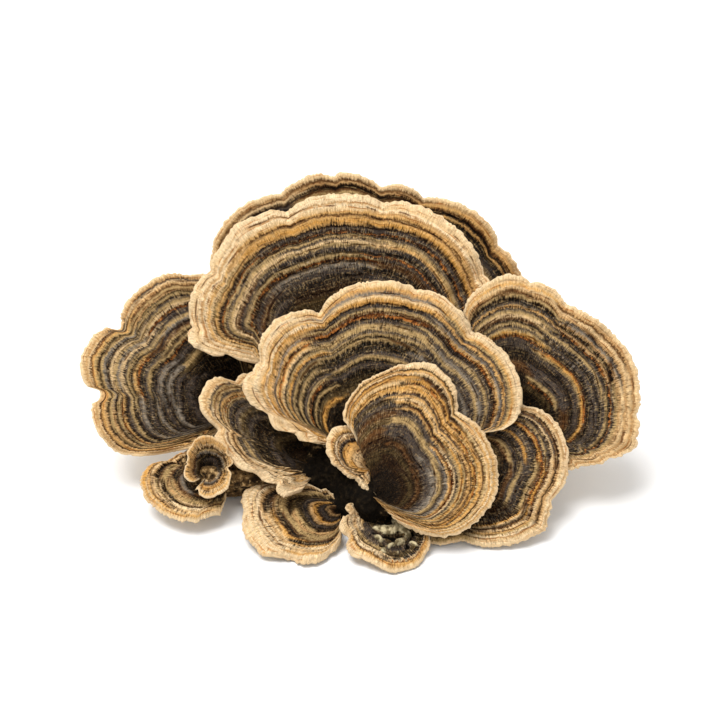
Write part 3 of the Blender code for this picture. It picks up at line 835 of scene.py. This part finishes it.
def band_colours(tree, bands, place):
    """A colour ramp with one stop to each band. A ramp holds 32 stops, so a longer list is shared
    between two ramps that meet at its middle band."""
    if len(bands) > MOST_STOPS:
        middle = len(bands) // 2
        outer = calc(tree, "GREATER_THAN", place, bands[middle][0])
        return choose(tree, outer, band_colours(tree, bands[:middle + 1], place),
                      band_colours(tree, bands[middle:], place))
    ramp = add_node(tree, "ShaderNodeValToRGB", {"Fac": place})
    ramp.color_ramp.interpolation = "EASE"
    stops = ramp.color_ramp.elements
    stops[0].position, stops[0].color = bands[0][0], band_colour(bands[0][1])
    stops[1].position, stops[1].color = bands[-1][0], band_colour(bands[-1][1])
    for where, name in bands[1:-1]:
        stops.new(where).color = band_colour(name)
    return ramp.outputs["Color"], ramp.outputs["Alpha"]


def zone_colours(tree, lists, place, turn):
    """The lists of bands, each holding near its own angle. One gives way to the next half way between
    their angles, as in zone_lightness."""
    lists = sorted(lists)
    bands = band_colours(tree, zone_list(lists[0][1]), place)
    for (low, _), (high, text) in zip(lists, lists[1:]):
        middle = (low + high) / 2.0
        share = between(tree, turn, middle - CHANGE_OVER / 2.0, middle + CHANGE_OVER / 2.0)
        bands = choose(tree, share, bands, band_colours(tree, zone_list(text), place))
    return bands


def pore_colours(tree, solid, rim):
    """The underside: cream flesh pricked with fine round pores, smooth for a way in from the lip."""
    pores = add_node(tree, "ShaderNodeTexVoronoi", {"Vector": solid, "Scale": 2600.0}).outputs["Distance"]
    hollow = calc(tree, "MULTIPLY", between(tree, pores, 0.12, 0.42, 1.0, 0.0), between(tree, rim, 1.0, 2.2))
    patch = noise(tree, solid, (160.0,) * 3, detail=4.0)
    flesh = blend(tree, between(tree, patch, 0.35, 0.65), daylight(226, 203, 162), daylight(203, 172, 124))
    return blend(tree, calc(tree, "MULTIPLY", hollow, 0.6), flesh, daylight(128, 98, 62)), hollow


def fibres(tree, growth, zone, across, along, shift=0.0):
    """Noise drawn out along the growth. Towards the root, where the same angle is a shorter arc, it
    gives way to a coarser copy, so that the fibres keep their width."""
    outer = noise(tree, growth, (across, along, 1.0), detail=3.0, rough=0.65, shift=shift)
    inner = noise(tree, growth, (across * 0.45, along, 1.0), detail=3.0, rough=0.65, shift=shift + 1.0)
    return add_node(tree, "ShaderNodeMix", {0: between(tree, zone, 0.35, 0.6), 2: inner, 3: outer}).outputs[0]


def both(tree, first, second, third=1.0):
    """The product of two or three shares."""
    return calc(tree, "MULTIPLY", calc(tree, "MULTIPLY", first, second), third)


def toned(tree, colour, shade):
    """A colour made lighter or darker by a number."""
    bright = add_node(tree, "ShaderNodeCombineColor", {0: shade, 1: shade, 2: shade}).outputs[0]
    return blend(tree, 1.0, colour, bright, way="MULTIPLY")


def swayed(tree, value, first, amount, longest):
    """A place in the zones moved by noise, by the given number of millimetres for the whole noise."""
    return calc(tree, "MULTIPLY_ADD", calc(tree, "SUBTRACT", first, 0.5), amount / longest, value)


def zoned_material(name, cap, lists):
    """The velvet of one cap, its cream lip and its pored underside."""
    material, tree, shader = new_material(name + "_velvet")
    longest = max(point[1] for point in cap["margin"])
    growth = add_node(tree, "ShaderNodeUVMap", uv_map="growth").outputs[0]
    solid = add_node(tree, "ShaderNodeTexCoord").outputs["Object"]
    zone, rim, turn, below, pleat = (stored(tree, label) for label in ("zone", "rim", "turn", "below", "pleat"))
    strand = fibres(tree, growth, zone, 22.0, 5.0)
    hair = fibres(tree, growth, zone, 42.0, 9.0, shift=5.0)
    tufts = noise(tree, growth, (9.0, 9.0, 1.0), detail=3.0, shift=3.0)
    patch = noise(tree, growth, (2.4, 10.0, 1.0), detail=3.0, shift=9.0)
    rings = noise(tree, growth, (1.4, 24.0, 1.0), detail=2.0, rough=0.6, shift=11.0)
    mottle = noise(tree, solid, (1200.0,) * 3, detail=3.0, rough=0.7)
    place = swayed(tree, zone, strand, 1.3, longest)
    place = swayed(tree, swayed(tree, place, hair, 0.8, longest), tufts, 1.2, longest)
    zones, cover = zone_colours(tree, lists, place, turn)
    old = between(tree, zone, 0.93, 0.84)
    young = calc(tree, "SUBTRACT", 1.0, old)

    colour = zones
    outer = between(tree, zone, 0.28, 0.62, 0.15, 1.0)
    light_ring = both(tree, between(tree, rings, 0.54, 0.62), between(tree, tufts, 0.40, 0.56),
                      calc(tree, "MULTIPLY", outer, 0.4))
    colour = blend(tree, light_ring, colour, daylight(184, 152, 102))
    dark_ring = both(tree, between(tree, rings, 0.46, 0.38), between(tree, patch, 0.60, 0.46))
    ring_tint = blend(tree, old, daylight(206, 158, 100), daylight(104, 78, 54))
    colour = blend(tree, calc(tree, "MULTIPLY", dark_ring, 0.8), colour,
                   blend(tree, 1.0, colour, ring_tint, way="MULTIPLY"))
    pale_hair = both(tree, between(tree, strand, 0.50, 0.68), between(tree, tufts, 0.42, 0.60), old)
    colour = blend(tree, both(tree, pale_hair, outer, 0.5), colour, daylight(188, 160, 116))
    # Painted sheen: light grey hairs over the old zones stand in for the silky shine of the velvet
    grey_hair_sheen = both(tree, between(tree, hair, 0.55, 0.65), between(tree, patch, 0.62, 0.46), old)
    colour = blend(tree, both(tree, grey_hair_sheen, outer, 0.4), colour, daylight(144, 134, 120))
    # Near black between the strands, stronger towards the root
    dark_between_strands = both(tree, between(tree, strand, 0.50, 0.36), between(tree, patch, 0.58, 0.44),
                between(tree, zone, 0.98, 0.84, 0.2, 0.9))
    colour = blend(tree, dark_between_strands, colour, daylight(13, 8, 4))
    bare = calc(tree, "SUBTRACT", 1.0, cover)
    bare = calc(tree, "MULTIPLY_ADD", calc(tree, "SUBTRACT", patch, 0.5), 2.4, bare)
    bare = calc(tree, "MULTIPLY_ADD", calc(tree, "SUBTRACT", hair, 0.5), 1.6, bare)
    fleck = blend(tree, between(tree, tufts, 0.42, 0.60), daylight(80, 43, 18), daylight(166, 103, 48))
    colour = blend(tree, between(tree, bare, 0.80, 0.95), colour, fleck)
    spots = between(tree, noise(tree, growth, (34.0, 26.0, 1.0), shift=13.0), 0.62, 0.68)
    colour = blend(tree, both(tree, spots, young, 0.55), colour, daylight(116, 82, 46))
    colour = blend(tree, both(tree, spots, old, 0.6), colour, daylight(150, 104, 52))
    crack = both(tree, between(tree, pleat, 0.12, 0.02), between(tree, rim, 3.6, 0.8),
                 between(tree, patch, 0.42, 0.60, 0.05, 0.6))
    colour = blend(tree, crack, colour, daylight(146, 106, 62))
    # Troughs between growth steps, darkened by a multiply: painted shade under the ridge of each step
    ragged_step = calc(tree, "MULTIPLY_ADD", calc(tree, "SUBTRACT", hair, 0.5), 0.2, stored(tree, "steps"))
    shaded_trough = between(tree, calc(tree, "PINGPONG", ragged_step, 0.5), 0.03, 0.11, 1.0, 0.0)
    shaded_trough = both(tree, shaded_trough, between(tree, noise(tree, growth, (1.6, 3.0, 1.0), shift=15.0), 0.48, 0.60),
                  between(tree, rim, 0.8, 1.6, 0.0, 0.85))
    colour = blend(tree, shaded_trough, colour, blend(tree, 1.0, colour, daylight(120, 84, 54), way="MULTIPLY"))
    deep = between(tree, zone, 0.95, 0.82, 0.5, 1.0)
    shade = both(tree, between(tree, mottle, 0.3, 0.7, 0.78, 1.22), between(tree, hair, 0.32, 0.68, 0.55, 1.45))
    shade = both(tree, shade, between(tree, strand, 0.32, 0.68, 0.72, 1.28))
    # Darker towards the root, down to 0.6 at zone 0.1: painted shade in the hollows under the caps above
    colour = toned(tree, colour, both(tree, mixed(tree, deep, 1.0, shade), between(tree, zone, 0.1, 0.45, 0.6, 1.0)))
    lip = between(tree, calc(tree, "MULTIPLY_ADD", tufts, 0.5, rim), 0.35, 0.35 + LIP_WIDTH, 1.0, 0.0)
    colour = blend(tree, calc(tree, "MULTIPLY", lip, 0.75), colour, daylight(220, 193, 152))
    if "knobs" in cap:
        knob = stored(tree, "knob")
        flesh = blend(tree, between(tree, noise(tree, solid, (700.0,) * 3, detail=4.0), 0.42, 0.56),
                      daylight(112, 98, 70), daylight(208, 192, 152))
        colour = blend(tree, between(tree, knob, 0.3, 0.7), colour, flesh)
        # Pits painted near black: painted shade in the hollows of the knobs
        colour = blend(tree, between(tree, knob, -0.1, -0.5), colour, daylight(14, 10, 6))
    pored, hollow = pore_colours(tree, solid, rim)
    side = between(tree, below, 0.1, 0.9)
    tree.links.new(blend(tree, side, colour, pored), shader.inputs["Base Color"])

    relief = calc(tree, "MULTIPLY_ADD", strand, 0.6, calc(tree, "MULTIPLY", mottle, 0.4))
    relief = calc(tree, "MULTIPLY_ADD", hair, 0.7, calc(tree, "MULTIPLY_ADD", rings, 0.6, relief))
    relief = calc(tree, "MULTIPLY_ADD", crack, -0.8, calc(tree, "MULTIPLY_ADD", shaded_trough, -0.9, relief))
    relief = calc(tree, "ADD", calc(tree, "MULTIPLY", relief, calc(tree, "SUBTRACT", 1.0, side)),
                  calc(tree, "MULTIPLY", calc(tree, "MULTIPLY", hollow, -1.0), side))
    bump = add_node(tree, "ShaderNodeBump", {"Height": relief, "Strength": 0.85, "Distance": 0.32 * MM})
    tree.links.new(bump.outputs[0], shader.inputs["Normal"])
    tree.links.new(between(tree, mottle, 0.3, 0.7, 0.95, 0.75), shader.inputs["Roughness"])
    shader.inputs["Specular IOR Level"].default_value = 0.07
    return material


# %% Make every cap, attach it to the root body and hide its solid
for cap_name, cap in CAPS.items():
    piece = cap_piece("zoned_" + cap_name, cap, ZONES[cap_name])
    piece.data.materials.append(zoned_material(cap_name, cap, ZONES[cap_name]))
    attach(piece, "root")
    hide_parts(cap_name)
    print(piece.name, len(piece.data.polygons), "faces")

# %% [markdown]
# ## The base
# The base is a knot of old growth that the caps spring from, dark and crusty, cut off flat where it
# left its wood. It could be a voxel sculpture. A round body seen from its heart is enough, because
# every lump can be reached by a straight line from there: the distance outwards is a function of two
# angles, and the flat cut is the same distance stopped at the floor.

# %% The base as a function of two angles
BASE_HEART = (0.0, 6.0, 5.0)
BASE_LUMPS = (
    (0, 8, 5, 13),
    (0, 22, 18, 11),
    (3, -8, 7.2, 7.2),
    (-2, -5, 2, 6.5),
    (12, 2, 4, 10),
    (23, 4, 4, 8),
    (22, 1.5, 6.2, 5.5),
    (35, 10.5, 13, 8.5),
    (-11, 6, 4, 8.5),
    (-26, 15, 8.5, 10),
    (-35, 2.3, 7, 7.5),
)
BASE_LENGTHEN = 1.7
BASE_AROUND = 26
BASE_ALONG = 18
LUMP_SHARPNESS = 16.0
BARK_ROUGHNESS = 0.5
BARK_PATCH = 2.3
FINER = 10
BARK_RELIEF = ((3.2, 0.7, 1), (1.6, 0.4, 7), (0.8, 0.25, 4))
# Middle and reach of the near black in the hollow between the front caps, partly painted shade
SHADED_HOLLOW_HEART = (-5.0, -8.0, 12.0)
SHADED_HOLLOW_RADIUS = 15.0


def base_radius(direction):
    """Distance from the heart to the outside: where a ray leaves each round lump it meets, joined
    softly as the sum of high powers brought back by its root."""
    total = np.zeros(direction.shape[:-1])
    for x, y, z, radius in BASE_LUMPS:
        middle = np.array((x, y, z)) - np.array(BASE_HEART)
        nearest = direction @ middle
        inside = nearest ** 2 + radius ** 2 - middle @ middle
        leaves = nearest + np.sqrt(np.maximum(inside, 0.0))
        total += np.where((inside > 0.0) & (leaves > 0.0), leaves, 0.0) ** LUMP_SHARPNESS
    return total ** (1.0 / LUMP_SHARPNESS)


def base_cage():
    """The solid's own points about the heart: rows from the left pole to the right one, columns round
    the long axis, each moved half way to the mean of its four neighbours."""
    tilt = np.linspace(0.0, math.pi, BASE_ALONG + 1)[:, None]
    around = np.linspace(0.0, 2.0 * math.pi, BASE_AROUND, endpoint=False)[None, :]
    direction = np.stack((-np.cos(tilt) * BASE_LENGTHEN + 0.0 * around, np.sin(tilt) * np.cos(around),
                          np.sin(tilt) * np.sin(around)), axis=-1)
    direction /= np.linalg.norm(direction, axis=-1, keepdims=True)
    reach = base_radius(direction)[..., None]
    cage = direction * (reach + BARK_ROUGHNESS * np.sin(direction * reach / BARK_PATCH).sum(-1, keepdims=True))
    mean = (np.roll(cage, 1, axis=1) + np.roll(cage, -1, axis=1)) / 4.0
    mean[1:-1] += (cage[:-2] + cage[2:]) / 4.0
    mean[0], mean[-1] = cage[1].mean(axis=0), cage[-2].mean(axis=0)
    return (cage + mean) / 2.0


def finer(loop, times):
    """Points between the rows of a closed loop, on the cubic curve that passes through them."""
    place = np.arange(len(loop) * times) / times
    share = (place % 1.0)[:, None, None]
    before, here, after, beyond = (loop[(place.astype(int) + step) % len(loop)] for step in (-1, 0, 1, 2))
    bend = 2.0 * before - 5.0 * here + 4.0 * after - beyond + share * (3.0 * (here - after) + beyond - before)
    return here + 0.5 * share * (after - before + share * bend)


def base_piece():
    """The base: the solid's points made finer both ways, with bark on them and the flat cut. Each row
    goes on over the pole as the row half way round, so that the curve through them is smooth there."""
    cage = base_cage()
    loop = np.concatenate((cage, np.roll(cage[-2:0:-1], BASE_AROUND // 2, axis=1)))
    body = finer(loop, FINER)[:BASE_ALONG * FINER + 1]
    body = np.swapaxes(finer(np.swapaxes(body, 0, 1), FINER), 0, 1)
    reach = np.linalg.norm(body, axis=-1)
    direction = body / reach[..., None]
    for size, height, seed in BARK_RELIEF:
        x, y, z = np.moveaxis(body / size, -1, 0)
        rough = unevenness(x, y, seed) + unevenness(z, x, seed + 1) + unevenness(y, z, seed + 2)
        reach = reach + height * (np.abs(rough) - 0.7)
    floor = BASE_HEART[2] / np.maximum(-direction[..., 2], 1e-6)
    cut = (reach >= floor).astype(float)
    points = np.array(BASE_HEART) + direction * np.minimum(reach, floor)[..., None]
    columns = points.shape[1]
    hollow = np.exp(-((points - SHADED_HOLLOW_HEART) ** 2).sum(axis=-1) / SHADED_HOLLOW_RADIUS ** 2)
    values = {label: np.concatenate((grid[:1, 0], grid[1:-1].ravel(), grid[-1:, 0]))
              for label, grid in {"cut": cut, "hollow": hollow}.items()}
    points = np.concatenate((points[:1, 0], points[1:-1].reshape(-1, 3), points[-1:, 0]))
    numbers = 1 + np.arange(len(points) - 2).reshape(-1, columns)
    wrapped = np.concatenate((numbers, numbers[:, :1]), axis=1)
    faces = quads(wrapped).tolist()
    last = len(points) - 1
    faces += [[0, b, a] for a, b in zip(wrapped[0, :-1].tolist(), wrapped[0, 1:].tolist())]
    faces += [[last, a, b] for a, b in zip(wrapped[-1, :-1].tolist(), wrapped[-1, 1:].tolist())]
    return new_piece("woody_base", points, faces, values, points[:, :2] / 10.0)


def outward_volume(piece):
    """Signed volume of a closed piece in cubic centimetres: above 0 if its faces point outwards."""
    mesh = piece.data
    mesh.calc_loop_triangles()
    corner = np.zeros(len(mesh.loop_triangles) * 3, np.int32)
    mesh.loop_triangles.foreach_get("vertices", corner)
    points = np.zeros(len(mesh.vertices) * 3, np.float32)
    mesh.vertices.foreach_get("co", points)
    a, b, c = np.moveaxis(points.reshape(-1, 3)[corner.reshape(-1, 3)].astype(float) * 100.0, 1, 0)
    return float((np.cross(a, b) * c).sum() / 6.0)


# %% Crusty bark, with pale flesh on the cut


def bark_material():
    """Olive brown crust with pale crumbs, near black in the hollow between the front caps, partly its dark flesh
    and partly painted shade, and cream fibres where it was cut."""
    material, tree, shader = new_material("base_crust")
    solid = add_node(tree, "ShaderNodeTexCoord").outputs["Object"]
    patch = noise(tree, solid, (330.0,) * 3, detail=5.0, rough=0.65)
    crumbs = noise(tree, solid, (800.0,) * 3, detail=4.0, rough=0.65, shift=4.0)
    grain = noise(tree, solid, (1900.0,) * 3, detail=4.0, rough=0.65, shift=2.0)
    crust = blend(tree, between(tree, patch, 0.38, 0.62), daylight(36, 24, 13), daylight(112, 86, 52))
    crust = blend(tree, between(tree, crumbs, 0.53, 0.64), crust, daylight(178, 146, 100))
    crust = blend(tree, between(tree, crumbs, 0.46, 0.36), crust, daylight(24, 17, 10))
    # Painted shade: near black in the hollow between the front caps, partly the dark flesh there
    dark = calc(tree, "MULTIPLY_ADD", calc(tree, "SUBTRACT", patch, 0.5), 1.2, stored(tree, "hollow"))
    crust = blend(tree, between(tree, dark, 0.2, 0.5, 0.0, 0.97), crust, daylight(9, 6, 3))
    crust = toned(tree, crust, between(tree, grain, 0.3, 0.7, 0.6, 1.35))
    threads = noise(tree, solid, (300.0, 1400.0, 300.0), detail=4.0, shift=5.0)
    flesh = blend(tree, between(tree, threads, 0.35, 0.65), daylight(214, 186, 140), daylight(164, 130, 86))
    cut = between(tree, stored(tree, "cut"), 0.3, 0.7)
    tree.links.new(blend(tree, cut, crust, flesh), shader.inputs["Base Color"])
    relief = calc(tree, "MULTIPLY_ADD", grain, 0.5, crumbs)
    relief = calc(tree, "MULTIPLY", relief, calc(tree, "MULTIPLY_ADD", cut, -0.7, 1.0))
    bump = add_node(tree, "ShaderNodeBump", {"Height": relief, "Strength": 0.9, "Distance": 0.5 * MM})
    tree.links.new(bump.outputs[0], shader.inputs["Normal"])
    tree.links.new(between(tree, grain, 0.3, 0.7, 0.95, 0.75), shader.inputs["Roughness"])
    shader.inputs["Specular IOR Level"].default_value = 0.07
    return material


base = base_piece()
base.data.materials.append(bark_material())
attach(base, "root")
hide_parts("base")
made = [piece for piece in bpy.data.objects if piece.name.startswith(("zoned_", "woody_"))]
for piece in made:
    print(piece.name, "volume", round(outward_volume(piece), 3), "cubic centimetres")
print("faces in all:", sum(len(piece.data.polygons) for piece in made))

# %% [markdown]
# ## Floor, light and camera
# The photograph is a plain studio shot on white: a bright sweep, large soft lights and hardly a
# shadow but where the fungus meets the floor. A white floor under a white sky gives that, with one
# large lamp to give the folds some direction.

# %% A white floor
FLOOR_HALF = 1.5
mesh = bpy.data.meshes.new("floor")
corners = [(-FLOOR_HALF, -FLOOR_HALF, 0.0), (FLOOR_HALF, -FLOOR_HALF, 0.0), (FLOOR_HALF, FLOOR_HALF, 0.0),
           (-FLOOR_HALF, FLOOR_HALF, 0.0)]
mesh.from_pydata(corners, [], [(0, 1, 2, 3)])
floor = bpy.data.objects.new("floor", mesh)
bpy.context.scene.collection.objects.link(floor)
paper, paper_tree, paper_shader = new_material("white_sweep")
paper_grain = noise(paper_tree, add_node(paper_tree, "ShaderNodeTexCoord").outputs["Object"], (40.0,) * 3)
paper_tone = blend(paper_tree, paper_grain, (0.93, 0.93, 0.93, 1.0), (0.95, 0.95, 0.95, 1.0))
paper_tree.links.new(paper_tone, paper_shader.inputs["Base Color"])
paper_shader.inputs["Roughness"].default_value = 1.0
paper_shader.inputs["Specular IOR Level"].default_value = 0.0
mesh.materials.append(paper)

# %% A white sky and one large soft lamp
SKY_STRENGTH = 0.77
LAMP_WATTS = 11.5
LAMP_SIZE = 0.6
LAMP_PLACE = (-0.25, -0.12, 1.05)
sky = bpy.data.worlds.new("studio_sky")
sky.use_nodes = True
sky.node_tree.nodes["Background"].inputs["Color"].default_value = (1.0, 1.0, 1.0, 1.0)
sky.node_tree.nodes["Background"].inputs["Strength"].default_value = SKY_STRENGTH
bpy.context.scene.world = sky
bpy.context.scene.view_settings.view_transform = "Standard"


def aim(thing, place, target):
    """Put a lamp or camera at a place and turn its view, the minus Z axis, to a target."""
    thing.location = place
    from_target = thing.location - Vector(target)
    thing.rotation_euler = from_target.to_track_quat("Z", "Y").to_euler()


lamp_data = bpy.data.lights.new("soft_lamp", "AREA")
lamp_data.size = LAMP_SIZE
lamp_data.energy = LAMP_WATTS
lamp = bpy.data.objects.new("soft_lamp", lamp_data)
bpy.context.scene.collection.objects.link(lamp)
aim(lamp, LAMP_PLACE, (0.0, 0.01, 0.02))

# %% The camera of the photograph
CAMERA_TARGET = (0.0, 0.010, 0.034)
CAMERA_DISTANCE = 0.464
CAMERA_RISE = 35.0
CAMERA_LENS = 100.0
rise = math.radians(CAMERA_RISE)
camera_data = bpy.data.cameras.new("camera")
camera_data.lens = CAMERA_LENS
camera_data.sensor_width = 36.0
camera = bpy.data.objects.new("camera", camera_data)
bpy.context.scene.collection.objects.link(camera)
aim(camera, (CAMERA_TARGET[0], CAMERA_TARGET[1] - CAMERA_DISTANCE * math.cos(rise),
             CAMERA_TARGET[2] + CAMERA_DISTANCE * math.sin(rise)), CAMERA_TARGET)
bpy.context.scene.camera = camera
